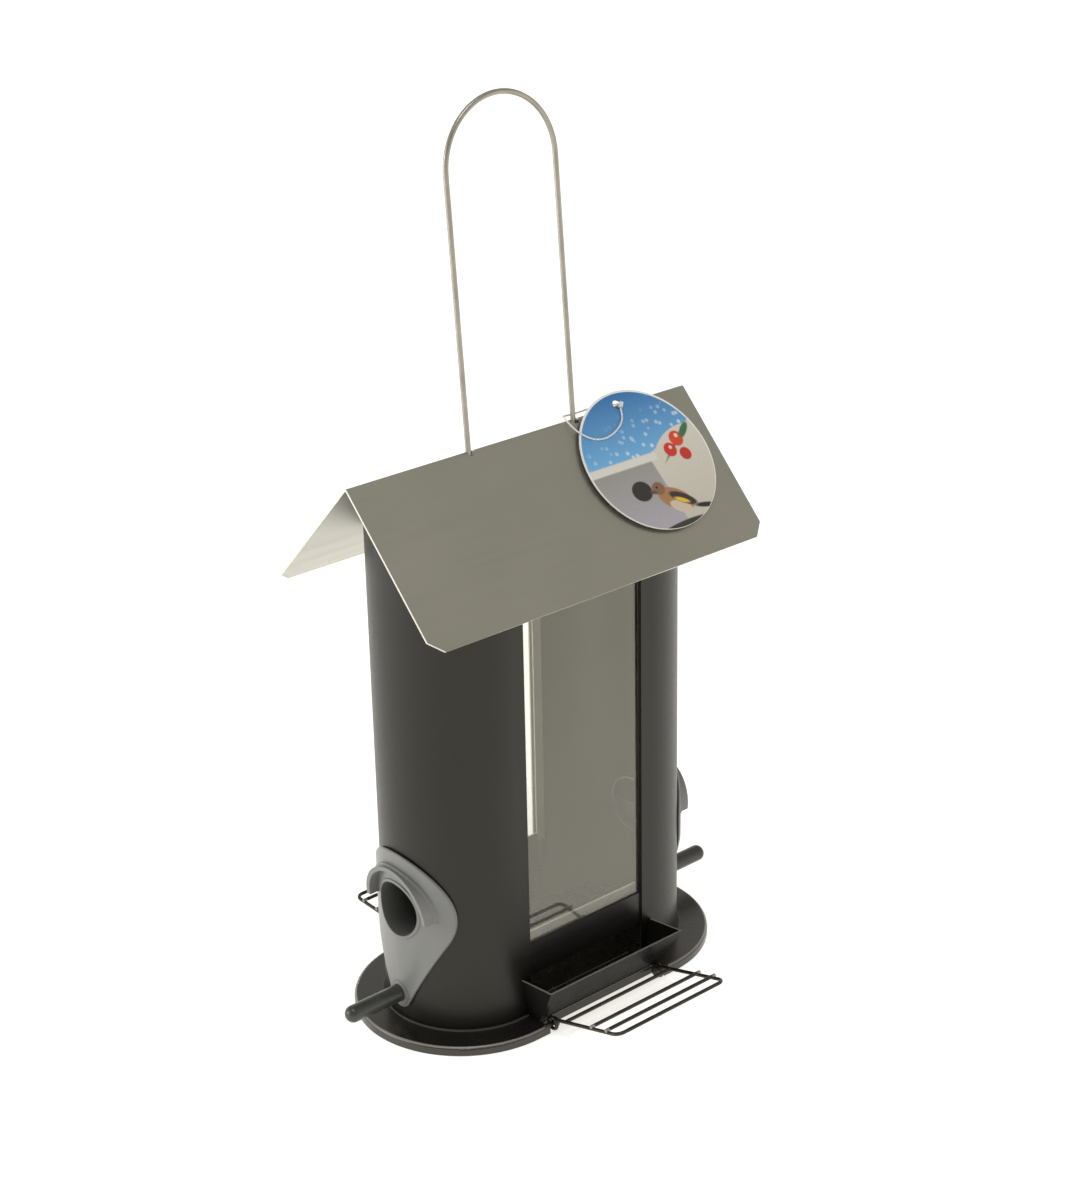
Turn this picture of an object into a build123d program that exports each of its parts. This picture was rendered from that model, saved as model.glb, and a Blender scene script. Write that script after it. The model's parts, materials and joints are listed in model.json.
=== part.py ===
from build123d import *
from math import atan2, cos, hypot, pi, radians, sin, sqrt, tan
import os

# Hanging seed feeder: two sheet-metal casings stand on a base plate with clear windows between them,
# under a folded roof that slides up a wire hanger. Seed runs out to two trays and two end ports.
# Units are millimetres. X runs along the ridge, -Y is the front, Z is up, and Z = 0 is the underside.

# ---- driving dimensions -------------------------------------------------------------------------
sheet = 1.0                  # sheet metal of the roof, casings, base and trays
body_radius = 39.0           # outside of each casing's round end
round_x = 43.0               # upright axis of that round end, left and right
window_edge_x = 35.8         # free upright edges of the casings, either side of the windows

base_radius = 53.5
base_round_x = 44.0
base_height = 4.5
base_edge_round = 1.6
notch_half_x = 37.0          # length of base cut back for each perch rack
notch_y = 47.5
foot_width = 1.8             # out-turned foot flange of the casings
foot_height = 0.8

roof_length = 200.0
ridge_z = 275.0
eaves_z = 215.2
eaves_y = 56.7
eaves_chamfer = 6.4
ridge_hole_radius = 2.2
roof_gap = 0.1               # casing tops stop this far under the closed roof

hanger_wire = 2.5
hanger_half_width = 31.1
hanger_lean = 4.3            # degrees, top towards the back
hanger_offset = -0.8         # it stands to one side in the ridge holes
hanger_arch_rise = 121.4     # centre of the arch above the ridge, along the legs
hanger_foot_drop = 61.0      # hooked feet below the ridge, under the straps
hanger_foot = 7.5            # length of each hooked foot
strap_z = 216.5              # underside of the straps that carry the hanger
strap_sheet = 1.2
strap_inner_x = 26.5
strap_outer_x = 50.0
strap_drop = 12.0            # turned-down ends
rivet_x = 45.0
rivet_z = 209.5
rivet_hole = 1.65
rivet_shank = 1.6
rivet_head = 3.0
rivet_tail = 2.3

pane_thickness = 1.5
pane_half_width = 37.0
pane_top = 231.5
channel_sheet = 0.8
front_lip_x = 35.0           # inner edges of the pane channels, front and back
back_lip_x = 33.0
channel_back_x = 38.2

sill_bottom = 23.5
sill_top = 40.6
sill_half_width = 42.0
sill_inner_top = 45.5        # top of the sill's inner leg, seen through the pane

tray_top_z = 26.3
tray_near_z = 24.0           # end walls fall to this height at the casing
tray_top_y = 60.5
tray_top_half_x = 42.3
tray_bottom_half_x = 38.0
tray_flange = 5.0

port_z = 63.0                # axis of each port opening
port_radius = 13.3
port_plate = 1.8             # stands this far off the casing
port_plate_radius = 28.8
port_plate_z = 63.6
port_tip_radius = 6.5
port_tip_z = 16.8
port_rim_gap = 0.7           # shadow gap behind the plate's rim, and its depth
port_rim_depth = 1.6
hood_radius = 21.6
hood_wall = 2.3
hood_leg_reach = 1.9         # hood front past the casing's end, at its legs and at its top
hood_top_reach = 4.5
collar_step = 1.2            # low collar round the hood
collar_lift = 1.3
throat_depth = 16.0
peg_z = 18.1
peg_diameter = 8.3
peg_reach = 33.0
peg_boss_radius = 6.2
peg_boss_lift = 0.5
spigot_radius = 2.4

rack_wire = 1.8
rack_half_x = 34.2           # side arms
front_rack_tilt = 15.5       # degrees above level, as each rack rests
back_rack_tilt = 3.0
rack_arm_lift = 2.05         # arms' centre line above the hinge axis
rack_reach = 47.3            # outer rail, along the arms from the hinge axis
rack_inner_rail = 9.8        # rail between the arms
rack_top_rails = (29.5, 40.0)           # rails laid across the arms
top_rail_rise = 1.2
top_rail_half_x = 35.1
rack_corner = 4.0
hinge_y = 52.0
hinge_z = 3.8
eye_radius = 1.95            # inside of the wire eyes
hinge_pin_radius = 1.2

tag_radius = 36.2
tag_thickness = 0.6
tag_lift = 2.2               # middle of the card above the roof's front slope
tag_hole = (55.5, 1.1)       # along the ridge, and down the slope from it
tag_centre = (56.2, 30.6)
tag_hole_radius = 2.4
loop_diameter = 0.9
lock_radius = 1.1

# ---- worked-out values --------------------------------------------------------------------------
pitch = atan2(ridge_z - eaves_z, eaves_y)
inner_radius = body_radius - sheet
plate_bottom = base_height - sheet
base_top = base_height
pane_y = inner_radius - sheet - 0.1 - pane_thickness / 2
groove_y = pane_y - pane_thickness / 2 - 0.1 - channel_sheet    # inner faces of channels and sills
end_x = round_x + body_radius
eye_centre_radius = eye_radius + rack_wire / 2
rack_arm_start = sqrt(eye_centre_radius ** 2 - rack_arm_lift ** 2)
hanger_place = Pos(hanger_offset, 0, ridge_z) * Rot(-hanger_lean, 0, 0)
FROM_END = (Align.CENTER, Align.CENTER, Align.MIN)
LEFT, RIGHT, FRONT, BACK = -1, 1, -1, 1
nodes = {}


def block(low, high):
    """Upright box between two corners."""
    size = [b - a for a, b in zip(low, high)]
    middle = [(a + b) / 2 for a, b in zip(low, high)]
    return Pos(*middle) * Box(*size)


def stadium(radius, centre_x, z, height):
    """Solid with two round ends on the X axis."""
    outline = Rectangle(2 * centre_x, 2 * radius)
    for side in (LEFT, RIGHT):
        outline += Pos(side * centre_x, 0) * Circle(radius)
    return Pos(0, 0, z) * extrude(outline, height)


def along_x(points, half_length):
    """Prism on an outline of (y, z) points, centred on X = 0."""
    outline = make_face(Polyline(*[(-half_length, y, z) for y, z in points], close=True))
    return extrude(outline, 2 * half_length, dir=(1, 0, 0))


def bar_x(radius, start_x, length, z):
    """Round bar along +X from start_x, on Y = 0."""
    return Pos(start_x, 0, z) * Rot(0, 90, 0) * Cylinder(radius, length, align=FROM_END)


def rod(start, end, radius):
    """Round bar between two points."""
    line = Line(start, end)
    return sweep(Plane(origin=start, z_dir=line % 0) * Circle(radius), path=line)


def bent_wire(path, diameter):
    """Round wire along a path of lines and arcs."""
    return sweep(Plane(origin=path @ 0, z_dir=path % 0) * Circle(diameter / 2), path=path)


def mirrored(part, across):
    return mirror(part, about=across)


# ---- roof ---------------------------------------------------------------------------------------
def under_roof(gap):
    """Everything below the roof's underside, less a gap, and flat under the fold."""
    top = ridge_z - (sheet + gap) / cos(pitch)
    reach, flat = 60.0, 2.5
    low, cut = top - reach * tan(pitch), top - flat * tan(pitch)
    outline = [(-reach, -1), (reach, -1), (reach, low), (flat, cut), (-flat, cut), (-reach, low)]
    return along_x(outline, roof_length)


def make_roof():
    down = (sheet * sin(pitch), sheet * cos(pitch))
    outline = [(-eaves_y, eaves_z), (0, ridge_z), (eaves_y, eaves_z)]
    outline += [(eaves_y - down[0], eaves_z - down[1]), (0, ridge_z - sheet / cos(pitch))]
    outline += [(-eaves_y + down[0], eaves_z - down[1])]
    roof = along_x(outline, roof_length / 2)
    corners = roof.edges().filter_by(lambda e: abs(e.length - sheet) < 0.01 and e.center().Z < eaves_z)
    roof = chamfer(corners, eaves_chamfer)
    fold = roof.edges().filter_by(Axis.X).sort_by(Axis.Z)
    roof = fillet(fold[-1], 1.6)
    fold = roof.edges().filter_by(Axis.X).filter_by(lambda e: abs(e.center().Y) < 0.01).sort_by(Axis.Z)
    roof = fillet(fold[0], 0.5)
    for side in (LEFT, RIGHT):
        roof -= Pos(side * hanger_half_width, 0, ridge_z) * Cylinder(ridge_hole_radius, 20)
    return roof


# ---- base ---------------------------------------------------------------------------------------
def casing_tabs(side, extra=0.0):
    """Tabs at a casing's foot that pass through the base plate and fold in under it."""
    tabs = []
    for turn in (-60, 0, 60):
        place = Pos(side * round_x, 0, 0) * Rot(0, 0, turn if side == RIGHT else 180 + turn)
        stem = block((inner_radius - extra, -4 - extra, plate_bottom - sheet),
                     (body_radius - 0.1 + extra, 4 + extra, base_top + 0.5))
        fold = block((inner_radius - 5, -4, plate_bottom - sheet), (body_radius - 0.1, 4, plate_bottom))
        tabs.append(place * (stem if extra else stem + fold))
    return tabs


def make_base():
    base = stadium(base_radius, base_round_x, 0, base_height)
    for side in (FRONT, BACK):
        base -= block((-notch_half_x, min(side * notch_y, side * 60), -1),
                      (notch_half_x, max(side * notch_y, side * 60), base_height + 1))
    rim = base.faces().sort_by(Axis.Z)[-1].edges()
    base = fillet(rim, base_edge_round)
    hollow = stadium(base_radius - sheet, base_round_x, -1, plate_bottom + 1)
    for side in (FRONT, BACK):
        near = side * (notch_y - sheet)
        hollow -= block((-notch_half_x - sheet, min(near, side * 60), -2),
                        (notch_half_x + sheet, max(near, side * 60), base_height))
    base -= hollow
    for side in (LEFT, RIGHT):
        for tab in casing_tabs(side, extra=0.15):
            base -= tab
        for y in (-hinge_y, hinge_y):
            base -= Pos(side * notch_half_x, y, hinge_z) * Rot(0, 90, 0) * Cylinder(hinge_pin_radius, 6)
    return base


# ---- casings ------------------------------------------------------------------------------------
def half_stadium(radius, edge_x, z, height):
    """Right-hand end of a stadium, from an upright plane at edge_x outward."""
    far = round_x + radius + 10
    outline = Pos(round_x, 0) * Circle(radius)
    outline += Pos((edge_x + round_x) / 2, 0) * Rectangle(round_x - edge_x, 2 * radius)
    outline &= Pos((edge_x + far) / 2, 0) * Rectangle(far - edge_x, 4 * radius)
    return Pos(0, 0, z) * extrude(outline, height)


def make_casing():
    """Right-hand casing."""
    casing = half_stadium(body_radius, window_edge_x, base_top, ridge_z)
    casing -= half_stadium(inner_radius, window_edge_x - 5, base_top - 1, ridge_z + 2)
    casing = casing & under_roof(roof_gap)
    foot = half_stadium(body_radius + foot_width, tray_bottom_half_x + 1.2, base_top, foot_height)
    foot -= half_stadium(inner_radius, window_edge_x - 5, base_top - 1, 4)
    casing += foot
    for tab in casing_tabs(RIGHT):
        casing += tab
    casing -= bar_x(port_radius + 1.7, end_x - 15, 30, port_z)
    casing -= bar_x(spigot_radius + 0.1, end_x - 15, 30, peg_z)
    for side in (FRONT, BACK):
        casing -= Pos(rivet_x, side * body_radius, rivet_z) * Rot(90, 0, 0) * Cylinder(rivet_hole, 8)
    return casing


# ---- hanger straps and their rivets ---------------------------------------------------------------
def make_strap(side):
    """Cross strap; its ends turn down and are riveted inside the casing."""
    reach = inner_radius - 0.05
    top = strap_z + strap_sheet
    wing_x = channel_back_x + 1.3
    strap = block((strap_inner_x, -33.8, strap_z), (strap_outer_x, 33.8, top))
    for end in (FRONT, BACK):
        near, far = sorted((end * 30, end * reach))
        strap += block((wing_x, near, strap_z), (strap_outer_x, far, top))
        near, far = sorted((end * (reach - strap_sheet), end * reach))
        strap += block((wing_x, near, strap_z - strap_drop), (strap_outer_x, far, top))
        strap -= Pos(rivet_x, end * reach, rivet_z) * Rot(90, 0, 0) * Cylinder(rivet_hole, 8)
    strap = strap & half_stadium(reach, -60, 0, 300)
    if side == LEFT:
        strap = mirrored(strap, Plane.YZ)
    leg = Pos(side * hanger_half_width, 0, strap_z - ridge_z) * Cylinder(hanger_wire / 2 + 0.1, 8)
    return strap - hanger_place * leg


def make_rivet():
    """Domed blind rivet along +Z, with its head on the casing's flat side."""
    grip = 4.2
    head = Pos(0, 0, body_radius) * Cylinder(rivet_head, 1.1, align=FROM_END)
    head = fillet(head.edges().sort_by(Axis.Z)[-1], 0.9)
    shank = Pos(0, 0, body_radius - grip) * Cylinder(rivet_shank, grip, align=FROM_END)
    tail = Pos(0, 0, body_radius - grip) * Cylinder(rivet_tail, 1.7, align=FROM_END)
    return head + shank + tail


def make_rivets():
    """The four rivets of the two straps."""
    rivet = make_rivet()
    turns = {FRONT: 90, BACK: -90}
    corners = [(side_x, side_y) for side_x in (LEFT, RIGHT) for side_y in (FRONT, BACK)]
    return [Pos(x * rivet_x, 0, rivet_z) * Rot(turns[y], 0, 0) * rivet for x, y in corners]


# ---- windows --------------------------------------------------------------------------------------
def make_channel(lip_x):
    """Right-hand back pane channel: a U that grips the pane's upright edge."""
    out_y = inner_radius - 0.05
    channel = block((lip_x, groove_y, sill_top + 0.3), (channel_back_x, out_y, ridge_z))
    channel -= block((lip_x - 1, groove_y + channel_sheet, 0),
                     (channel_back_x - channel_sheet, out_y - channel_sheet, ridge_z + 1))
    return channel & under_roof(0.6)


def make_pane():
    """Back pane, one clear flat sheet that stands in the sill."""
    y = pane_y
    low = (-pane_half_width, y - pane_thickness / 2, sill_bottom + sheet + 0.1)
    return block(low, (pane_half_width, y + pane_thickness / 2, pane_top))


def make_sill(leg_half_x):
    """Back sill: a folded U that carries the pane, with its inner leg between the channels."""
    out_y = inner_radius - 0.05
    sill = block((-sill_half_width, out_y - sheet, sill_bottom), (sill_half_width, out_y, sill_top))
    sill += block((-sill_half_width, groove_y, sill_bottom), (sill_half_width, out_y, sill_bottom + sheet))
    sill += block((-leg_half_x, groove_y, sill_bottom), (leg_half_x, groove_y + channel_sheet, sill_inner_top))
    return sill


# ---- trays and seed deflector ---------------------------------------------------------------------
def trough(inset):
    """Tray form between the casing faces and its leaning walls, moved in by a wall thickness."""
    lean = (tray_top_y - notch_y) / (tray_top_z - base_top)
    flare = (tray_top_half_x - tray_bottom_half_x) / (tray_top_z - base_top)
    in_y = inset / cos(atan2(lean, 1))
    in_x = inset / cos(atan2(flare, 1))
    over = 3.0 if inset else 0.0
    sections = []
    for z in (base_top - over, tray_top_z + over):
        rise = z - base_top
        half_x = tray_bottom_half_x + flare * rise - in_x
        far_y = notch_y + lean * rise - in_y
        near_y = body_radius + 0.1 - over
        section = Pos(0, (near_y + far_y) / 2, z) * Rectangle(2 * half_x, far_y - near_y)
        sections.append(section)
    return loft(sections, ruled=True)


def make_tray():
    """Back tray: leaning front wall, two end walls and a foot flange, folded from one sheet."""
    tray = trough(0) - trough(sheet)
    near_y, far_y = body_radius - 1, tray_top_y
    tray -= along_x([(near_y, tray_near_z), (far_y, tray_top_z), (far_y, 40), (near_y, 40)], 60)
    flange = block((-tray_bottom_half_x + 1, notch_y - tray_flange, base_top),
                   (tray_bottom_half_x - 1, notch_y - 0.6, base_top + sheet))
    return tray + flange


def make_deflector():
    """Low seed roof inside the body, which sheds seed to both slots."""
    half_y, ridge, length = 31.0, 21.0, 34.0
    low = base_top
    rise = atan2(ridge - low, half_y)
    outline = [(-half_y, low), (0, ridge), (half_y, low), (half_y - sheet / sin(rise), low)]
    outline += [(0, ridge - sheet / cos(rise)), (-half_y + sheet / sin(rise), low)]
    deflector = along_x(outline, length)
    gable = [(-half_y + 1, low), (0, ridge - 0.6), (half_y - 1, low)]
    for side in (LEFT, RIGHT):
        deflector += Pos(side * (length - sheet / 2), 0, 0) * along_x(gable, sheet / 2)
    return deflector


# ---- ports and pegs -------------------------------------------------------------------------------
def casing_round(offset):
    """Upright cylinder on the right-hand casing's round end, grown by an offset."""
    return Pos(round_x, 0, 0) * Cylinder(body_radius + offset, 240)


def port_outline(inset):
    """Pear-shaped outline of the port plate, run out along X."""
    bowl = Pos(0, port_plate_z) * Circle(port_plate_radius - inset)
    tip = Pos(0, port_tip_z) * Circle(port_tip_radius - inset)
    outline = Plane.YZ.offset(round_x) * make_hull(bowl.edges() + tip.edges())
    return extrude(outline, 60, dir=(1, 0, 0))


def half_ring(outer, inner):
    """Upper half ring round the port's axis, with short straight legs."""
    start = end_x - throat_depth
    ring = bar_x(outer, start, 40, port_z) - bar_x(inner, start - 1, 42, port_z)
    return ring - block((start - 2, -40, port_z - 60), (start + 42, 40, port_z - 0.6))


def hood_front():
    """All that lies behind the hood's leaning front plane."""
    low, high = port_z, port_z + hood_radius
    step = (hood_top_reach - hood_leg_reach) / (high - low)
    outline = []
    for z in (low - 5, high + 5):
        outline.append((end_x + hood_leg_reach + step * (z - low), z))
    outline += [(end_x - 30, high + 5), (end_x - 30, low - 5)]
    face = make_face(Polyline(*[(x, -40, z) for x, z in outline], close=True))
    return extrude(face, 80, dir=(0, 1, 0))


def make_port():
    """Right-hand port moulding: wrapped plate, collared rain hood, throat and seed baffle."""
    plate = port_outline(0) & (casing_round(port_plate) - casing_round(port_rim_gap))
    face_radius = body_radius + port_plate - 0.3
    rim = [e for e in plate.edges() if max(hypot(v.X - round_x, v.Y) for v in (e @ 0, e @ 0.3)) > face_radius]
    port = fillet(rim, 0.8)
    port += port_outline(port_rim_depth) & (casing_round(port_rim_gap + 0.3) - casing_round(0.05))

    hood = half_ring(hood_radius, hood_radius - hood_wall) & hood_front()
    hood += half_ring(hood_radius + collar_step, hood_radius - 1) & casing_round(port_plate + collar_lift)
    hood -= casing_round(port_rim_gap)
    port += hood
    port += bar_x(port_radius + 1.5, end_x - throat_depth, 40, port_z) & casing_round(port_plate + 0.5)
    port -= bar_x(port_radius, end_x - 30, 60, port_z)

    baffle = bar_x(port_radius + 0.5, end_x - throat_depth, 1.5, port_z)
    baffle -= block((end_x - 20, -20, port_z - 20), (end_x - 10, 20, port_z + 1))
    port += baffle
    boss = bar_x(peg_boss_radius, end_x - 2, port_plate + peg_boss_lift + 2, peg_z)
    port += boss - casing_round(port_rim_gap)
    return port - bar_x(peg_diameter / 2 + 0.05, end_x - 15, 30, peg_z)


def make_peg():
    """Right-hand perch peg with a round nose and a spigot through the casing."""
    peg = bar_x(peg_diameter / 2, end_x + 0.1, peg_reach, peg_z)
    nose = peg.edges().filter_by(GeomType.CIRCLE).sort_by(Axis.X)[-1]
    peg = fillet(nose, peg_diameter / 2 - 0.3)
    return peg + bar_x(spigot_radius, end_x - 7, 7.5, peg_z)


def make_peg_washers():
    """Push-on washers that grip the pegs' spigots inside the casings, left and right."""
    washer = Cylinder(5.9, 0.8) - Cylinder(spigot_radius, 2)
    for turn in range(0, 360, 60):
        washer -= Rot(0, 0, turn) * block((spigot_radius - 0.5, -0.3, -1), (spigot_radius + 1.6, 0.3, 1))
    return [Pos(side * (end_x - 2.2), 0, peg_z) * Rot(0, 90, 0) * washer for side in (LEFT, RIGHT)]


# ---- hanger ---------------------------------------------------------------------------------------
def make_hanger():
    """One wire: hooked foot, leg, arch, leg and hooked foot."""
    half, rise, drop = hanger_half_width, hanger_arch_rise, -hanger_foot_drop
    legs = []
    for side in (LEFT, RIGHT):
        legs.append(FilletPolyline((side * (half + hanger_foot), 0, drop), (side * half, 0, drop),
                                   (side * half, 0, rise), radius=2.6))
    arch = ThreePointArc((-half, 0, rise), (0, 0, rise + half), (half, 0, rise))
    path = Wire(legs[0].edges() + arch.edges() + legs[1].edges())
    return hanger_place * bent_wire(path, hanger_wire)


def make_push_nuts():
    """Spring washers on the hanger legs, on top of the straps."""
    nut = Cylinder(4.6, 0.7) - Cylinder(hanger_wire / 2, 2)
    for turn in range(0, 360, 90):
        nut -= Rot(0, 0, turn) * block((1.0, -0.3, -1), (3.0, 0.3, 1))
    height = (strap_z + strap_sheet - ridge_z) / cos(radians(hanger_lean)) + 0.8
    return [hanger_place * Pos(side * hanger_half_width, 0, height) * nut for side in (LEFT, RIGHT)]


# ---- perch racks ----------------------------------------------------------------------------------
def rack_point(tilt, along, lift):
    """(y, z) on a back rack's plane, along its arms from the hinge axis and off that line."""
    angle = radians(tilt)
    y = hinge_y + along * cos(angle) - lift * sin(angle)
    z = hinge_z + along * sin(angle) + lift * cos(angle)
    return y, z


def make_rack_frame(tilt):
    """Back rack's U frame; each arm ends in an eye curled round its hinge pin."""
    far_y, far_z = rack_point(tilt, rack_reach, rack_arm_lift)
    near_y, near_z = rack_point(tilt, rack_arm_start, rack_arm_lift)
    path = FilletPolyline(
        (-rack_half_x, near_y, near_z), (-rack_half_x, far_y, far_z),
        (rack_half_x, far_y, far_z), (rack_half_x, near_y, near_z), radius=rack_corner)
    frame = bent_wire(path, rack_wire)
    for side in (LEFT, RIGHT):
        eye = Pos(side * rack_half_x, hinge_y, hinge_z) * Rot(0, 90, 0) * Torus(eye_centre_radius, rack_wire / 2)
        frame += eye
    return frame


def make_rack_rails(tilt):
    """Back rack's rails: one between the arms, then two laid across them."""
    between = rack_half_x - rack_wire / 2 + 0.3
    spans = [(rack_inner_rail, rack_arm_lift, between)]
    spans += [(along, rack_arm_lift + top_rail_rise, top_rail_half_x) for along in rack_top_rails]
    rails = []
    for along, lift, half_x in spans:
        y, z = rack_point(tilt, along, lift)
        rails.append(rod((-half_x, y, z), (half_x, y, z), rack_wire / 2))
    return rails


def make_hinge_pins():
    """Headed pins in the base's notch ends, one for each rack eye."""
    pins = []
    for side_x in (LEFT, RIGHT):
        for side_y in (FRONT, BACK):
            pin = Cylinder(hinge_pin_radius, 7.2, align=FROM_END) + Cylinder(2.4, 1.0, align=FROM_END)
            start = rack_half_x - rack_wire / 2 - 1.4
            turn = 90 if side_x == RIGHT else -90
            pins.append(Pos(side_x * start, side_y * hinge_y, hinge_z) * Rot(0, turn, 0) * pin)
    return pins


# ---- hang tag -------------------------------------------------------------------------------------
def slope_point(x, down, lift):
    """Point on the roof's front slope: along the ridge, down the slope and off its surface."""
    y = -down * cos(pitch) - lift * sin(pitch)
    z = ridge_z - down * sin(pitch) + lift * cos(pitch)
    return (x, y, z)


def slope_disc(centre, lift, radius, thickness):
    place = Plane(origin=slope_point(*centre, lift), x_dir=(1, 0, 0), z_dir=(0, -sin(pitch), cos(pitch)))
    return place * Cylinder(radius, thickness)


def make_tag():
    tag = slope_disc(tag_centre, tag_lift, tag_radius, tag_thickness)
    return tag - slope_disc(tag_hole, tag_lift, tag_hole_radius, 5)


# Loop of plastic line from its lock, over the card, round the hanger's leg and back through the hole.
loop_route = [
    slope_point(55.6, 3.1, 3.7), slope_point(54.6, 6.6, 3.6), slope_point(51.3, 10.4, 3.5),
    slope_point(45.9, 13.2, 3.4), slope_point(39.6, 14.8, 3.3), slope_point(33.2, 13.9, 3.3),
    slope_point(28.2, 10.6, 3.6), slope_point(25.3, 5.4, 2.9), (24.9, 1.0, 276.9), (27.4, 4.2, 275.3),
    (31.8, 4.9, 274.6), (37.2, 3.9, 275.0), (42.8, 2.6, 275.8), (48.6, 1.0, 276.2), (53.8, -0.4, 275.6),
    slope_point(57.2, 1.1, 3.8),
]


def corner_radii(route):
    """For each corner, 0.45 of its shorter run over the tangent of half its turn."""
    points = [Vector(*p) for p in route]
    radii = []
    for before, at, after in zip(points, points[1:], points[2:]):
        run_in, run_out = at - before, after - at
        turn = radians(run_in.get_angle(run_out))
        radii.append(0.45 * min(run_in.length, run_out.length) / tan(turn / 2))
    return radii


def make_tag_loop():
    radii = corner_radii(loop_route)
    path = FilletPolyline(*loop_route, radius=radii)
    tube = bent_wire(path, loop_diameter)
    section = pi * loop_diameter ** 2 / 4
    print("loop length", round(path.length, 1), "tightest radius", round(min(radii), 2),
          "volume over section times length", round(tube.volume / (section * path.length), 4))
    return tube


def make_tag_lock():
    """Small barrel that joins both ends of the loop in front of the hole."""
    start = Vector(*loop_route[0])
    end = Vector(*loop_route[-1])
    place = Plane(origin=(start + end) * 0.5, z_dir=(start - end).normalized())
    return place * Cylinder(lock_radius, (start - end).length - 0.1)


# ---- assembly -------------------------------------------------------------------------------------
nodes["roof"] = make_roof()
nodes["base_plate"] = make_base()
right_casing = make_casing()
nodes["right_casing"] = right_casing
nodes["left_casing"] = mirrored(right_casing, Plane.YZ)
nodes["right_hanger_strap"] = make_strap(RIGHT)
nodes["left_hanger_strap"] = make_strap(LEFT)
nodes["strap_rivets"] = make_rivets()
nodes["hanger"] = make_hanger()
nodes["hanger_push_nuts"] = make_push_nuts()

right_port, right_peg = make_port(), make_peg()
for name, part in (("port", right_port), ("peg", right_peg)):
    nodes["right_" + name] = part
    nodes["left_" + name] = mirrored(part, Plane.YZ)
nodes["peg_washers"] = make_peg_washers()

for name, part in (("window", make_pane()), ("tray", make_tray())):
    nodes["back_" + name] = part
    nodes["front_" + name] = mirrored(part, Plane.XZ)
nodes["back_sill"] = make_sill(back_lip_x - 0.1)
nodes["front_sill"] = mirrored(make_sill(front_lip_x - 0.1), Plane.XZ)
nodes["back_right_channel"] = make_channel(back_lip_x)
nodes["front_right_channel"] = mirrored(make_channel(front_lip_x), Plane.XZ)
for face in ("back", "front"):
    nodes[face + "_left_channel"] = mirrored(nodes[face + "_right_channel"], Plane.YZ)
nodes["seed_deflector"] = make_deflector()

for face, tilt in (("back", back_rack_tilt), ("front", front_rack_tilt)):
    rack_pieces = {"rack_frame": make_rack_frame(tilt)}
    for number, rail in enumerate(make_rack_rails(tilt), 1):
        rack_pieces[f"rack_rail_{number}"] = rail
    for name, part in rack_pieces.items():
        nodes[f"{face}_{name}"] = part if face == "back" else mirrored(part, Plane.XZ)
nodes["rack_hinge_pins"] = make_hinge_pins()

nodes["hang_tag"] = make_tag()
nodes["tag_loop"] = make_tag_loop()
nodes["tag_lock"] = make_tag_lock()

os.makedirs("parts", exist_ok=True)
for name, part in nodes.items():
    solid = Compound(children=list(part)) if isinstance(part, list) else part
    solid.label = name
    export_step(solid, f"parts/{name}.step")
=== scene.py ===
"""Looks for a hanging bird feeder.

Sheet-steel roof, casings and base, clear panes, wire racks, moulded ports and a printed hang tag.
"""

import json
import math

import bpy
from mathutils import Matrix, Vector


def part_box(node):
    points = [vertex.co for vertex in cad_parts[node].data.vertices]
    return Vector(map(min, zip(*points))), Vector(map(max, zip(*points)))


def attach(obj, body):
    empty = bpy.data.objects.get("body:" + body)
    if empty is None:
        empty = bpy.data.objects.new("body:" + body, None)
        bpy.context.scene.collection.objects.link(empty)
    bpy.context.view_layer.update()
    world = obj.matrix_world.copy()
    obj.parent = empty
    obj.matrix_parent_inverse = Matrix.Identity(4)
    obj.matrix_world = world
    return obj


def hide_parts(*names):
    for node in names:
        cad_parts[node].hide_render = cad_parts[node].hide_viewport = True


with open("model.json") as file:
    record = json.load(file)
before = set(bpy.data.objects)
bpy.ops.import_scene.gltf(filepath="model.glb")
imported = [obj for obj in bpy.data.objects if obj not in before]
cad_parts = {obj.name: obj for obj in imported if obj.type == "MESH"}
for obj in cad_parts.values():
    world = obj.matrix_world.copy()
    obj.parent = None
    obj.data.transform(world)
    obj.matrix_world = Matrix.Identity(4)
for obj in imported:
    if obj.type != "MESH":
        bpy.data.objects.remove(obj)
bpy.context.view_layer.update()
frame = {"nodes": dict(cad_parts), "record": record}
nodes = frame["nodes"]
slots = {row["node"]: row["material_slot"] for row in frame["record"]["subparts"]}
MM = 0.001

# ---- places read from the frame ------------------------------------------------------------------
RIDGE_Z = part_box("roof")[1].z
EAVES_Y = 56.7 * MM
EAVES_Z = 215.2 * MM
PITCH = math.atan2(RIDGE_Z - EAVES_Z, EAVES_Y)
ROUND_X = 43.0 * MM
CASING_RADIUS = 39.0 * MM
SHEET = 1.0 * MM
PORT_Z = 63.0 * MM
PORT_RADIUS = 13.3 * MM
PORT_MOUTH_X = 82.0 * MM
RACK_ARM_X = 34.2 * MM
SILL_GLINT_Z = 45.2 * MM
TRAY_RIM_Z = 20.0 * MM
BASE_TOP_Z = 4.7 * MM
TAG_RADIUS = 36.2 * MM
TAG_X = 56.2 * MM
TAG_DOWN = 30.6 * MM
TAG_FACE = 2.35 * MM

# ---- looks named once ----------------------------------------------------------------------------
INSIDE_DULLED = 0.38
PANE_BOW = 0.06
PANE_GLOSS = 2.15
PAINT_DARK = (0.0065, 0.0062, 0.0054)
PAINT_LIGHT = (0.0090, 0.0086, 0.0076)


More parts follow.
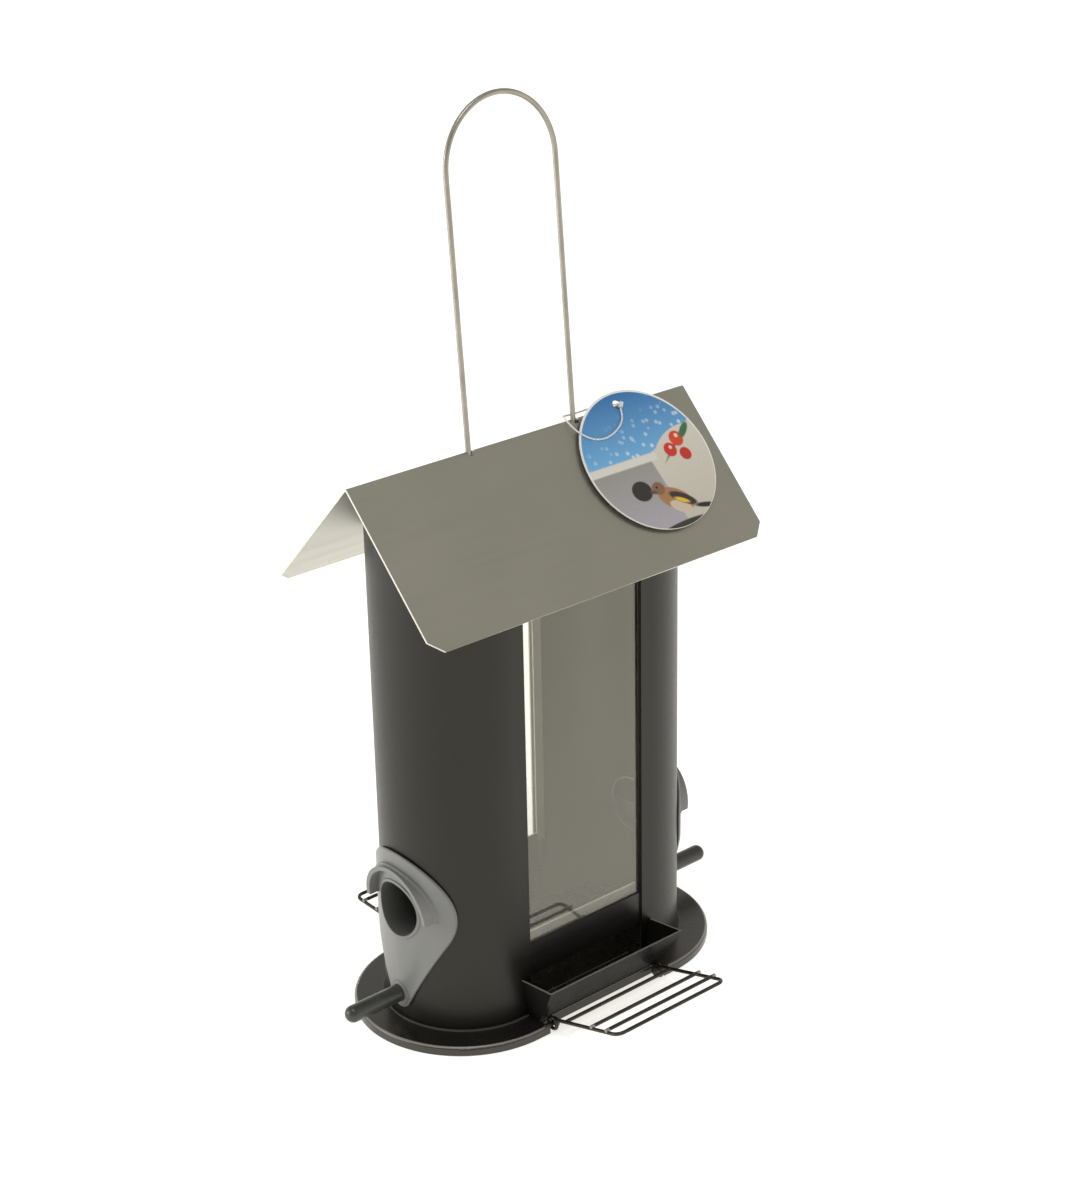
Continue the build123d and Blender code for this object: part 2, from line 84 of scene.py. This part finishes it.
# ---- camera ---------------------------------------------------------------------------------------
def make_camera():
    """The camera looks from the front left and a little above, with long perspective."""
    azimuth, elevation = math.radians(-40.88), math.radians(23.15)
    roll, distance = math.radians(-1.175), 1.1572
    target = Vector((0.00829, 0, 0.193))
    back = Vector((math.sin(azimuth) * math.cos(elevation), -math.cos(azimuth) * math.cos(elevation),
                   math.sin(elevation)))
    right = (-back).cross(Vector((0, 0, 1))).normalized()
    up = right.cross(-back)
    side = right * math.cos(roll) + up * math.sin(roll)
    top = up * math.cos(roll) - right * math.sin(roll)
    data = bpy.data.cameras.new("camera")
    data.sensor_width = 36
    data.lens = 75.3
    data.clip_end = 50
    camera = bpy.data.objects.new("camera", data)
    bpy.context.scene.collection.objects.link(camera)
    place = Matrix((side, top, back)).transposed().to_4x4()
    place.translation = target + back * distance
    camera.matrix_world = place
    bpy.context.scene.camera = camera


# ---- material building ------------------------------------------------------------------------------
class Shader:
    """Short ways to add and join nodes in one material."""

    def __init__(self, name):
        self.material = bpy.data.materials.new(name)
        self.material.use_nodes = True
        self.tree = self.material.node_tree
        self.tree.nodes.clear()
        self.out = self.node("ShaderNodeOutputMaterial")
        self.coords = self.node("ShaderNodeTexCoord").outputs["Object"]

    def node(self, kind, **settings):
        made = self.tree.nodes.new(kind)
        for key, value in settings.items():
            setattr(made, key, value)
        return made

    def link(self, source, target):
        self.tree.links.new(source, target)

    def put(self, target, value):
        """Links a socket, or sets a plain number or colour."""
        if isinstance(value, bpy.types.NodeSocket):
            self.link(value, target)
        elif isinstance(value, tuple) and len(value) == 3 and len(target.default_value) == 4:
            target.default_value = (*value, 1)
        else:
            target.default_value = value

    def math(self, operation, *values, clamp=False):
        made = self.node("ShaderNodeMath", operation=operation, use_clamp=clamp)
        for socket, value in zip(made.inputs, values):
            self.put(socket, value)
        return made.outputs[0]

    def vector(self, operation, *values):
        made = self.node("ShaderNodeVectorMath", operation=operation)
        for socket, value in zip(made.inputs, values):
            self.put(socket, value)
        return made.outputs["Value" if operation in ("DOT_PRODUCT", "LENGTH", "DISTANCE") else "Vector"]

    def axes(self, vector=None):
        made = self.node("ShaderNodeSeparateXYZ")
        self.link(vector or self.coords, made.inputs[0])
        return made.outputs

    def join(self, x, y, z):
        made = self.node("ShaderNodeCombineXYZ")
        for socket, value in zip(made.inputs, (x, y, z)):
            self.put(socket, value)
        return made.outputs[0]

    def stretched(self, scale):
        made = self.node("ShaderNodeMapping")
        self.link(self.coords, made.inputs["Vector"])
        made.inputs["Scale"].default_value = scale
        return made.outputs[0]

    def noise(self, scale, detail=3.0, roughness=0.5, vector=None, distortion=0.0):
        made = self.node("ShaderNodeTexNoise")
        self.link(vector or self.coords, made.inputs["Vector"])
        made.inputs["Scale"].default_value = scale
        made.inputs["Detail"].default_value = detail
        made.inputs["Roughness"].default_value = roughness
        made.inputs["Distortion"].default_value = distortion
        return made.outputs["Fac"]

    def ramp(self, factor, *stops):
        """Colour ramp from (place, colour or grey) stops."""
        made = self.node("ShaderNodeValToRGB")
        self.link(factor, made.inputs[0])
        elements = made.color_ramp.elements
        while len(elements) < len(stops):
            elements.new(0.5)
        for element, (place, colour) in zip(elements, stops):
            element.position = place
            if not isinstance(colour, tuple):
                colour = (colour, colour, colour)
            element.color = (*colour, 1)
        return made.outputs[0]

    def range(self, value, low, high, to_low=0.0, to_high=1.0):
        made = self.node("ShaderNodeMapRange")
        for socket, number in zip(made.inputs, (value, low, high, to_low, to_high)):
            self.put(socket, number)
        return made.outputs[0]

    def mix(self, factor, first, second, blend="MIX"):
        made = self.node("ShaderNodeMix", data_type="RGBA", blend_type=blend)
        self.put(made.inputs["Factor"], factor)
        self.put(made.inputs[6], first)
        self.put(made.inputs[7], second)
        return made.outputs[2]

    def bump(self, height, distance, strength=1.0, edge=None):
        """Small relief, over edges rounded to a radius when one is given."""
        made = self.node("ShaderNodeBump")
        self.link(height, made.inputs["Height"])
        made.inputs["Distance"].default_value = distance
        made.inputs["Strength"].default_value = strength
        if edge:
            rounded = self.node("ShaderNodeBevel", samples=6)
            rounded.inputs["Radius"].default_value = edge
            self.link(rounded.outputs[0], made.inputs["Normal"])
        return made.outputs[0]

    def surface(self, **sockets):
        """Principled surface; keys are socket names with underscores."""
        made = self.node("ShaderNodeBsdfPrincipled")
        for key, value in sockets.items():
            self.put(made.inputs[key.replace("_", " ")], value)
        return made.outputs[0]

    def finish(self, surface):
        self.link(surface, self.out.inputs["Surface"])
        return self.material


def roof_steel():
    """Rolled steel sheet with a satin warm grey finish and bright sheared edges."""
    s = Shader("roof_steel")
    rolled = s.noise(320, 3, 0.5, s.stretched((0.05, 1, 1)))
    cloudy = s.noise(11, 3, 0.5)
    tone = s.mix(s.range(cloudy, 0.3, 0.7), (0.365, 0.352, 0.305), (0.405, 0.391, 0.338))
    normal = s.axes(s.node("ShaderNodeNewGeometry").outputs["Normal"])
    end_cut = s.math("GREATER_THAN", s.math("ABSOLUTE", normal[0]), 0.35)
    down = s.math("ADD", s.math("MULTIPLY", s.math("ABSOLUTE", normal[1]), math.cos(PITCH)),
                  s.math("MULTIPLY", normal[2], -math.sin(PITCH)))
    cut = s.math("MAXIMUM", end_cut, s.math("GREATER_THAN", down, 0.9))
    tone = s.mix(s.math("LESS_THAN", normal[2], -0.3), tone, (0.112, 0.108, 0.092))
    tone = s.mix(cut, tone, (0.66, 0.645, 0.59))
    return s.finish(s.surface(Base_Color=tone, Metallic=0.9, Roughness=s.range(rolled, 0.3, 0.7, 0.34, 0.40),
                              Normal=s.bump(rolled, 0.000004, 0.6)))


def sill_paint():
    """Dark satin paint on the sills' outer faces; the folded inside stays bare, with a painted highlight
    along the top edge of its inner leg.
    """
    s = Shader("sill_paint")
    peel = s.noise(420, 2, 0.5)
    paint = s.mix(s.range(s.noise(16, 3, 0.5), 0.3, 0.7), PAINT_DARK, PAINT_LIGHT)
    x, y, z = s.axes()
    inside = s.math("LESS_THAN", s.math("ABSOLUTE", y), CASING_RADIUS - 2.0 * SHEET)
    # painted highlight: above the inner leg's top edge the bare inside is painted pale as a glint line
    bare = s.mix(s.math("GREATER_THAN", z, SILL_GLINT_Z), (0.12, 0.115, 0.10), (0.75, 0.73, 0.65))
    return s.finish(s.surface(
        Base_Color=s.mix(inside, paint, bare), Metallic=s.math("MULTIPLY", inside, 0.35),
        Roughness=s.range(peel, 0.3, 0.7, 0.32, 0.38), Normal=s.bump(peel, 0.000006, 0.4)))


def zinc_tone(s, dulled):
    """Cloudy bare zinc; dulled is the share of its brightness that's left."""
    dark = tuple(v * dulled for v in (0.47, 0.45, 0.385))
    light = tuple(v * dulled for v in (0.54, 0.515, 0.445))
    return s.mix(s.range(s.noise(30, 4, 0.6), 0.3, 0.7), dark, light)


def bare_zinc():
    """Plain galvanised strip, dull and pale."""
    s = Shader("bare_zinc")
    grain = s.noise(420, 2, 0.5)
    return s.finish(s.surface(
        Base_Color=zinc_tone(s, 1.0), Metallic=0.35, Roughness=s.range(grain, 0.3, 0.7, 0.42, 0.50),
        Normal=s.bump(grain, 0.000006, 0.4, 0.0003)))


def painted_steel(name, bare_inside):
    """Dark satin paint; the casings are bare zinc inside, with a painted highlight along the outer edge of
    their foot.
    """
    s = Shader(name)
    peel = s.noise(420, 2, 0.5)
    cloudy = s.noise(16, 3, 0.5)
    tone = s.mix(s.range(cloudy, 0.3, 0.7), PAINT_DARK, PAINT_LIGHT)
    roughness = s.range(peel, 0.3, 0.7, 0.35, 0.40)
    metallic = 0.0
    if bare_inside:
        x, y, z = s.axes()
        beyond = s.math("MAXIMUM", s.math("SUBTRACT", s.math("ABSOLUTE", x), ROUND_X), 0.0)
        radius = s.math("SQRT", s.math("ADD", s.math("POWER", beyond, 2.0), s.math("POWER", y, 2.0)))
        inside = s.math("LESS_THAN", radius, CASING_RADIUS - 0.93 * SHEET)
        tone = s.mix(inside, tone, zinc_tone(s, INSIDE_DULLED))
        # painted highlight: the outermost edge of the foot flange is painted pale as a thin bright line
        foot_painted_highlight = s.math("GREATER_THAN", radius, CASING_RADIUS + 1.3 * SHEET)
        tone = s.mix(foot_painted_highlight, tone, (0.10, 0.095, 0.085))
        roughness = s.math("MULTIPLY_ADD", inside, 0.15, roughness)
        metallic = s.math("MULTIPLY", inside, 0.35)
    return s.finish(s.surface(
        Base_Color=tone, Metallic=metallic, Roughness=roughness, Specular_IOR_Level=0.40,
        Specular_Tint=(1.0, 0.96, 0.87), Normal=s.bump(peel, 0.000006, 0.4)))


def black_steel(name, specular, ior, cut_rim):
    """Satin black paint over pressed steel; a tray's cut rim is painted pale, partly wear and partly painted
    highlight, and the base's rounded edge carries a painted highlight.
    """
    s = Shader(name)
    peel = s.noise(120, 1, 0.4)
    tone = s.mix(s.range(s.noise(30, 2, 0.5), 0.3, 0.7), (0.0095, 0.0090, 0.0082), (0.0135, 0.0128, 0.0115))
    up = s.axes(s.node("ShaderNodeNewGeometry").outputs["Normal"])[2]
    z = s.axes()[2]
    if cut_rim:
        # partly wear, partly painted highlight: the top faces of a tray's cut rim are painted pale
        raised = s.math("GREATER_THAN", z, TRAY_RIM_Z)
        rim = s.math("MULTIPLY", s.math("GREATER_THAN", up, 0.8), raised)
        tone = s.mix(rim, tone, (0.20, 0.19, 0.17))
    else:
        # painted highlight: the base's rounded rim edge, below its top, is painted pale
        painted_rim_highlight = s.math("MULTIPLY", s.range(up, 0.50, 0.62), s.range(up, 0.98, 0.92))
        painted_rim_highlight = s.math("MULTIPLY", painted_rim_highlight, s.math("LESS_THAN", z, BASE_TOP_Z))
        tone = s.mix(painted_rim_highlight, tone, (0.22, 0.205, 0.18))
    return s.finish(s.surface(Base_Color=tone, Roughness=s.range(peel, 0.3, 0.7, 0.25, 0.30), IOR=ior,
                              Specular_IOR_Level=specular, Specular_Tint=(1.0, 0.96, 0.88),
                              Normal=s.bump(peel, 0.000006, 0.4)))


def zinc_steel():
    s = Shader("zinc_steel")
    spangle = s.node("ShaderNodeTexVoronoi")
    s.link(s.coords, spangle.inputs["Vector"])
    spangle.inputs["Scale"].default_value = 500
    tone = s.mix(spangle.outputs["Distance"], (0.50, 0.50, 0.49), (0.62, 0.62, 0.61))
    grain = s.noise(700, 2, 0.5)
    return s.finish(s.surface(Base_Color=tone, Metallic=1.0, Roughness=s.range(grain, 0.3, 0.7, 0.3, 0.45),
                              Normal=s.bump(grain, 0.000006, 0.5, 0.0003)))


def hanger_wire():
    """Drawn galvanised wire: long fine die lines, slightly dull."""
    s = Shader("hanger_wire")
    lines = s.noise(900, 3, 0.5, s.stretched((1, 1, 0.03)))
    dulled = s.ramp(s.noise(90, 4, 0.6), (0.3, 0.0), (0.75, 1.0))
    tone = s.mix(dulled, (0.30, 0.282, 0.245), (0.40, 0.38, 0.335))
    return s.finish(s.surface(Base_Color=tone, Metallic=0.9, Roughness=s.range(lines, 0.3, 0.7, 0.30, 0.42),
                              Normal=s.bump(lines, 0.00001, 0.5)))


def grey_plastic(name, dark, light, roughness, throat=False):
    """Moulded satin plastic with faint flow marks; a port's throat gets painted shade, darker with depth."""
    s = Shader(name)
    flow = s.noise(45, 3, 0.5, s.stretched((1, 1, 0.4)), 0.6)
    grain = s.noise(1500, 2, 0.5)
    tone = s.mix(s.ramp(flow, (0.35, 0.0), (0.65, 1.0)), dark, light)
    if throat:
        x, y, z = s.axes()
        off_axis = s.math("SUBTRACT", z, PORT_Z)
        radius = s.math("SQRT", s.math("ADD", s.math("POWER", y, 2.0), s.math("POWER", off_axis, 2.0)))
        within = s.range(radius, PORT_RADIUS + 0.0006, PORT_RADIUS + 0.0002)
        depth = s.range(s.math("ABSOLUTE", x), PORT_MOUTH_X, PORT_MOUTH_X - 0.013)
        # painted shade: the throat's wall is darkened, more the deeper it goes
        throat_painted_shade = s.math("MULTIPLY", within, s.math("MULTIPLY_ADD", depth, 0.55, 0.42))
        tone = s.mix(throat_painted_shade, tone, (0.010, 0.010, 0.009))
    gloss = s.range(flow, 0.3, 0.7, roughness, roughness + 0.08)
    if throat:
        gloss = s.math("MULTIPLY_ADD", s.math("MULTIPLY", within, depth), 0.45, gloss)
    return s.finish(s.surface(Base_Color=tone, Roughness=gloss,
                              Normal=s.bump(grain, 0.000005, 0.4, 0.0007)))


def clear_plastic():
    """Clear sheet, glossy and slightly bowed on its outer skins, with faint scuffs and dust low down."""
    s = Shader("clear_plastic")
    outer = s.math("SUBTRACT", 1.0, s.node("ShaderNodeNewGeometry").outputs["Backfacing"])
    scuff = s.ramp(s.noise(140, 5, 0.62, s.stretched((1, 1, 0.35)), 1.2), (0.60, 0.0), (0.78, 1.0))
    facing = s.node("ShaderNodeNewGeometry").outputs["Normal"]
    bowed = s.vector("NORMALIZE", s.vector("ADD", facing, (0.0, 0.0, PANE_BOW)))
    fresnel = s.node("ShaderNodeFresnel")
    fresnel.inputs["IOR"].default_value = 1.49
    clear = s.node("ShaderNodeBsdfTransparent")
    clear.inputs[0].default_value = (0.97, 0.975, 0.965, 1)
    shine = s.node("ShaderNodeBsdfGlossy")
    shine.inputs["Color"].default_value = (1.0, 0.97, 0.87, 1)
    s.link(s.range(scuff, 0.0, 1.0, 0.005, 0.08), shine.inputs["Roughness"])
    s.link(bowed, shine.inputs["Normal"])
    milky = s.surface(Base_Color=(0.62, 0.595, 0.53), Roughness=0.5, Normal=s.bump(scuff, 0.00002, 0.3))
    first = s.node("ShaderNodeMixShader")
    s.link(s.math("MULTIPLY", s.math("MULTIPLY", fresnel.outputs[0], PANE_GLOSS), outer), first.inputs[0])
    s.link(clear.outputs[0], first.inputs[1])
    s.link(shine.outputs[0], first.inputs[2])
    haze = s.node("ShaderNodeMixShader")
    dust = s.range(s.axes()[2], 0.035, 0.17, 0.13, 0.02)
    s.link(s.math("MULTIPLY", s.math("MULTIPLY_ADD", scuff, 0.04, dust), outer), haze.inputs[0])
    s.link(first.outputs[0], haze.inputs[1])
    s.link(milky, haze.inputs[2])
    return s.finish(haze.outputs[0])


def rack_wire(name, welds):
    """Dip-coated dark bronze wire; the laid-on rails have bright weld spots where they cross the arms."""
    s = Shader(name)
    coat = s.noise(500, 3, 0.55)
    worn = s.ramp(s.noise(120, 3, 0.5), (0.35, 0.0), (0.7, 1.0))
    tone = s.mix(worn, (0.036, 0.031, 0.026), (0.056, 0.047, 0.040))
    roughness = s.range(coat, 0.3, 0.7, 0.28, 0.34)
    if welds:
        from_arm = s.math("ABSOLUTE", s.math("SUBTRACT", s.math("ABSOLUTE", s.axes()[0]), RACK_ARM_X))
        weld = s.range(from_arm, 0.0006, 0.0014, 1.0, 0.0)
        tone = s.mix(weld, tone, (0.40, 0.37, 0.33))
        roughness = s.math("MULTIPLY_ADD", weld, -0.08, roughness)
    return s.finish(s.surface(Base_Color=tone, Metallic=0.6, Roughness=roughness,
                              Normal=s.bump(coat, 0.000004, 0.3)))


class Print:
    """Flat printed shapes on the card, in card radii along the ridge and down the slope from its middle."""

    def __init__(self, shader):
        self.s = s = shader
        x, y, z = s.axes()
        self.across = s.math("DIVIDE", s.math("SUBTRACT", x, TAG_X), TAG_RADIUS)
        drop = s.math("MULTIPLY", s.math("SUBTRACT", RIDGE_Z, z), math.sin(PITCH))
        down = s.math("MULTIPLY_ADD", y, -math.cos(PITCH), drop)
        self.down = s.math("DIVIDE", s.math("SUBTRACT", down, TAG_DOWN), TAG_RADIUS)
        rise = s.math("MULTIPLY", s.math("SUBTRACT", z, RIDGE_Z), math.cos(PITCH))
        self.height = s.math("MULTIPLY_ADD", y, -math.sin(PITCH), rise)

    def line(self, across, down, level, soft=0.012):
        """1 where across*u + down*v is over the level."""
        s = self.s
        value = s.math("ADD", s.math("MULTIPLY", self.across, across), s.math("MULTIPLY", self.down, down))
        return s.range(value, level - soft, level + soft)

    def blob(self, u, v, long, short, turn=0.0, soft=0.008):
        """1 inside an ellipse, turned by degrees from the ridge direction towards the eaves."""
        s = self.s
        c, d = math.cos(math.radians(turn)), math.sin(math.radians(turn))
        du, dv = s.math("SUBTRACT", self.across, u), s.math("SUBTRACT", self.down, v)
        along = s.math("ADD", s.math("MULTIPLY", du, c / long), s.math("MULTIPLY", dv, d / long))
        beside = s.math("ADD", s.math("MULTIPLY", du, -d / short), s.math("MULTIPLY", dv, c / short))
        reach = s.math("SQRT", s.math("ADD", s.math("POWER", along, 2.0), s.math("POWER", beside, 2.0)))
        return s.range(reach, 1 + soft / short, 1 - soft / short)


def tag_card():
    """Glossy card, white on its back and rim, printed with sky, snow, a nest box, berries and a bird."""
    s = Shader("tag_card")
    art = Print(s)
    sky = s.mix(s.range(art.down, -1.0, -0.1), (0.032, 0.165, 0.43), (0.16, 0.42, 0.72))
    flakes = s.node("ShaderNodeTexVoronoi")
    s.link(s.coords, flakes.inputs["Vector"])
    flakes.inputs["Scale"].default_value = 260
    near_snow = s.range(s.math("ADD", art.down, s.math("MULTIPLY", art.across, 0.35)), -0.75, -0.05)
    flake = s.math("MULTIPLY", s.range(flakes.outputs["Distance"], 0.34, 0.20), near_snow)
    tone = s.mix(s.math("MULTIPLY", flake, 0.7), sky, (0.80, 0.86, 0.92))
    snow = s.mix(s.range(art.down, -0.3, 1.0), (0.66, 0.63, 0.55), (0.55, 0.52, 0.45))
    drift = s.math("MAXIMUM", art.line(0.34, 1.0, -0.05), art.blob(0.75, 0.55, 0.85, 0.88))
    tone = s.mix(drift, tone, snow)
    box = s.math("MULTIPLY", art.line(0.0, 1.0, 0.02), art.line(-1.0, 0.08, -0.02))
    tone = s.mix(box, tone, s.mix(s.range(art.down, 0.0, 1.0), (0.31, 0.30, 0.28), (0.43, 0.40, 0.46)))
    eaves = s.math("MULTIPLY", art.line(0.0, 1.0, -0.08), art.line(0.0, -1.0, -0.03))
    tone = s.mix(s.math("MULTIPLY", eaves, art.line(-1.0, 0.0, -0.14)), tone, (0.70, 0.68, 0.62))
    doorway = [((-0.36, 0.37, 0.155, 0.14), (0.030, 0.026, 0.022))]
    branch = [((-0.15, 1.02, 0.60, 0.10, -6), (0.035, 0.042, 0.026))]
    tail = ((0.48, 0.80, 0.17, 0.035, 12), (0.025, 0.020, 0.018))
    back = ((0.08, 0.60, 0.27, 0.15, 32), (0.40, 0.20, 0.085))
    belly = ((0.10, 0.72, 0.17, 0.08, 30), (0.62, 0.52, 0.40))
    wing = ((0.19, 0.62, 0.21, 0.07, 34), (0.040, 0.034, 0.030))
    wing_bar = ((0.16, 0.64, 0.11, 0.030, 30), (0.80, 0.50, 0.04))
    head = ((-0.10, 0.40, 0.10, 0.09), (0.24, 0.13, 0.065))
    beak = ((-0.20, 0.43, 0.055, 0.024, 20), (0.10, 0.075, 0.05))
    eye = ((-0.12, 0.38, 0.016, 0.016), (0.005, 0.005, 0.005))
    bird = [tail, back, belly, wing, wing_bar, head, beak, eye]
    twig = ((0.52, -0.10, 0.30, 0.020, -35), (0.10, 0.055, 0.03))
    near_berry = ((0.40, -0.04, 0.10, 0.10), (0.60, 0.035, 0.02))
    far_berry = ((0.58, -0.16, 0.11, 0.11), (0.68, 0.060, 0.02))
    low_berry = ((0.60, 0.07, 0.09, 0.09), (0.55, 0.030, 0.02))
    leaf = ((0.76, -0.24, 0.14, 0.05, -40), (0.05, 0.16, 0.06))
    near_gleam = ((0.42, -0.07, 0.025, 0.025), (0.90, 0.60, 0.55))
    far_gleam = ((0.60, -0.20, 0.028, 0.028), (0.92, 0.65, 0.58))
    berries = [twig, near_berry, far_berry, low_berry, leaf, near_gleam, far_gleam]
    for place, colour in doorway + branch + bird + berries:
        tone = s.mix(art.blob(*place), tone, colour)
    printed = s.math("GREATER_THAN", art.height, TAG_FACE)
    rim = art.blob(0.0, 0.0, 0.982, 0.982, 0.0, 0.004)
    tone = s.mix(s.math("MULTIPLY", printed, rim), (0.86, 0.86, 0.84), tone)
    grain = s.noise(900, 2, 0.5)
    return s.finish(s.surface(Base_Color=tone, Roughness=s.range(grain, 0.3, 0.7, 0.20, 0.28),
                              Normal=s.bump(grain, 0.000004, 0.4)))


def loop_plastic():
    """Clear nylon line, milky white where it catches light."""
    s = Shader("loop_plastic")
    drawn = s.noise(800, 2, 0.5)
    tone = s.mix(drawn, (0.80, 0.82, 0.83), (0.90, 0.91, 0.92))
    return s.finish(s.surface(Base_Color=tone, Roughness=s.range(drawn, 0.3, 0.7, 0.18, 0.28),
                              Transmission_Weight=0.25, Normal=s.bump(drawn, 0.00001, 0.4)))


def make_materials():
    return {
        "roof_steel": roof_steel(),
        "anthracite_steel": painted_steel("anthracite_steel", True),
        "trim_paint": painted_steel("trim_paint", False),
        "bare_zinc": bare_zinc(),
        "sill_paint": sill_paint(),
        "black_steel": black_steel("black_steel", 0.75, 1.5, False),
        "tray_paint": black_steel("tray_paint", 0.5, 1.07, True),
        "zinc_steel": zinc_steel(),
        "hanger_wire": hanger_wire(),
        "grey_plastic": grey_plastic(
            "grey_plastic", (0.178, 0.181, 0.177), (0.208, 0.211, 0.205), 0.31, throat=True),
        "peg_plastic": grey_plastic(
            "peg_plastic", (0.036, 0.037, 0.035), (0.054, 0.055, 0.052), 0.22),
        "clear_plastic": clear_plastic(),
        "rack_wire": rack_wire("rack_wire", False),
        "rack_rail": rack_wire("rack_rail", True),
        "tag_card": tag_card(),
        "loop_plastic": loop_plastic(),
    }


def set_material(piece, material):
    piece.data.materials.clear()
    piece.data.materials.append(material)


def dress_nodes(materials):
    """Gives each CAD node its slot's material, or a finer one that goes by the end of its name."""
    finer = (("_peg", "peg_plastic"), ("_channel", "trim_paint"), ("_sill", "sill_paint"),
             ("_tray", "tray_paint"), ("rail_2", "rack_rail"), ("rail_3", "rack_rail"),
             ("back_left_channel", "bare_zinc"), ("back_right_channel", "bare_zinc"))
    for name, piece in nodes.items():
        kind = slots[name]
        for ending, own in finer:
            if name.endswith(ending):
                kind = own
        set_material(piece, materials[kind])


# ---- the loop of line through the tag ---------------------------------------------------------------
def slope_point(x, down, lift):
    """Point on the roof's front slope, in millimetres along the ridge, down the slope and off it."""
    ridge = RIDGE_Z / MM
    y = -down * math.cos(PITCH) - lift * math.sin(PITCH)
    return (x, y, ridge - down * math.sin(PITCH) + lift * math.cos(PITCH))


LOOP_ROUTE = [
    slope_point(55.6, 3.1, 3.7), slope_point(54.6, 6.6, 3.6), slope_point(51.3, 10.4, 3.5),
    slope_point(45.9, 13.2, 3.4), slope_point(39.6, 14.8, 3.3), slope_point(33.2, 13.9, 3.3),
    slope_point(28.2, 10.6, 3.6), slope_point(25.3, 5.4, 2.9), (24.9, 1.0, 276.9), (27.4, 4.2, 275.3),
    (31.8, 4.9, 274.6), (37.2, 3.9, 275.0), (42.8, 2.6, 275.8), (48.6, 1.0, 276.2), (53.8, -0.4, 275.6),
    slope_point(57.2, 1.1, 3.8),
]
LOOP_DIAMETER = 0.0009


def make_tag_loop(materials):
    curve = bpy.data.curves.new("tag_line", "CURVE")
    curve.dimensions = "3D"
    spline = curve.splines.new("NURBS")
    spline.points.add(len(LOOP_ROUTE) - 1)
    for point, place in zip(spline.points, LOOP_ROUTE):
        point.co = (*(v * MM for v in place), 1)
    spline.order_u = 3
    spline.use_endpoint_u = True
    spline.resolution_u = 12
    curve.bevel_depth = LOOP_DIAMETER / 2
    curve.bevel_resolution = 4
    curve.use_fill_caps = True
    line = bpy.data.objects.new("tag_line", curve)
    bpy.context.scene.collection.objects.link(line)
    curve.materials.append(materials["loop_plastic"])
    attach(line, "roof")
    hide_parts("tag_loop")


# ---- floor and light ----------------------------------------------------------------------------------
def make_floor():
    mesh = bpy.data.meshes.new("floor")
    size = 6.0
    corners = [(-size, -size, 0), (size, -size, 0), (size, size, 0), (-size, size, 0)]
    mesh.from_pydata(corners, [], [(0, 1, 2, 3)])
    floor = bpy.data.objects.new("floor", mesh)
    bpy.context.scene.collection.objects.link(floor)
    floor.location.z = -0.0004
    s = Shader("floor_paper")
    surface = s.surface(Base_Color=(0.90, 0.90, 0.89), Roughness=0.9, Emission_Color=(1.0, 0.975, 0.915),
                        Emission_Strength=0.67)
    set_material(floor, s.finish(surface))


def area_light(name, place, aim, size, power):
    data = bpy.data.lights.new(name, "AREA")
    data.shape = "RECTANGLE"
    data.size, data.size_y = size
    data.energy = power
    light = bpy.data.objects.new(name, data)
    bpy.context.scene.collection.objects.link(light)
    light.location = place
    light.rotation_euler = (Vector(aim) - Vector(place)).to_track_quat("-Z", "Y").to_euler()


def make_light():
    """White tent: bright low down all round, softer above, and dim on the side that the camera works from."""
    world = bpy.data.worlds.new("studio")
    bpy.context.scene.world = world
    world.use_nodes = True
    tree = world.node_tree
    tree.nodes.clear()
    coords = tree.nodes.new("ShaderNodeTexCoord")

    def shade(direction, stops):
        dot = tree.nodes.new("ShaderNodeVectorMath")
        dot.operation = "DOT_PRODUCT"
        tree.links.new(coords.outputs["Generated"], dot.inputs[0])
        dot.inputs[1].default_value = Vector(direction).normalized()
        ramp = tree.nodes.new("ShaderNodeValToRGB")
        tree.links.new(dot.outputs["Value"], ramp.inputs[0])
        for element, (place, colour) in zip(ramp.color_ramp.elements, stops):
            element.position = place
            element.color = (*colour, 1)
        return ramp.outputs[0]

    height = shade((0, 0, 1), ((0.12, (1.0, 0.97, 0.90)), (0.62, (0.44, 0.43, 0.40))))
    side = shade((-0.64, -0.76, 0.10), ((0.35, (1.0, 1.0, 1.0)), (0.90, (0.60, 0.60, 0.60))))
    both = tree.nodes.new("ShaderNodeMix")
    both.data_type, both.blend_type = "RGBA", "MULTIPLY"
    both.inputs["Factor"].default_value = 1.0
    tree.links.new(height, both.inputs[6])
    tree.links.new(side, both.inputs[7])
    dim = tree.nodes.new("ShaderNodeBackground")
    tree.links.new(both.outputs[2], dim.inputs[0])
    dim.inputs[1].default_value = 1.1
    white = tree.nodes.new("ShaderNodeBackground")
    white.inputs[0].default_value = (1, 1, 1, 1)
    path = tree.nodes.new("ShaderNodeLightPath")
    mix = tree.nodes.new("ShaderNodeMixShader")
    tree.links.new(path.outputs["Is Camera Ray"], mix.inputs[0])
    tree.links.new(dim.outputs[0], mix.inputs[1])
    tree.links.new(white.outputs[0], mix.inputs[2])
    output = tree.nodes.new("ShaderNodeOutputWorld")
    tree.links.new(mix.outputs[0], output.inputs[0])
    area_light("top_box", (-0.25, -0.3, 1.5), (0, 0, 0.15), (0.6, 0.45), 4.5)
    area_light("left_box", (-1.6, 0.9, 0.5), (0, 0, 0.15), (1.1, 1.1), 12)
    bpy.context.scene.view_settings.view_transform = "Standard"


make_camera()
materials = make_materials()
dress_nodes(materials)
make_tag_loop(materials)
make_floor()
make_light()
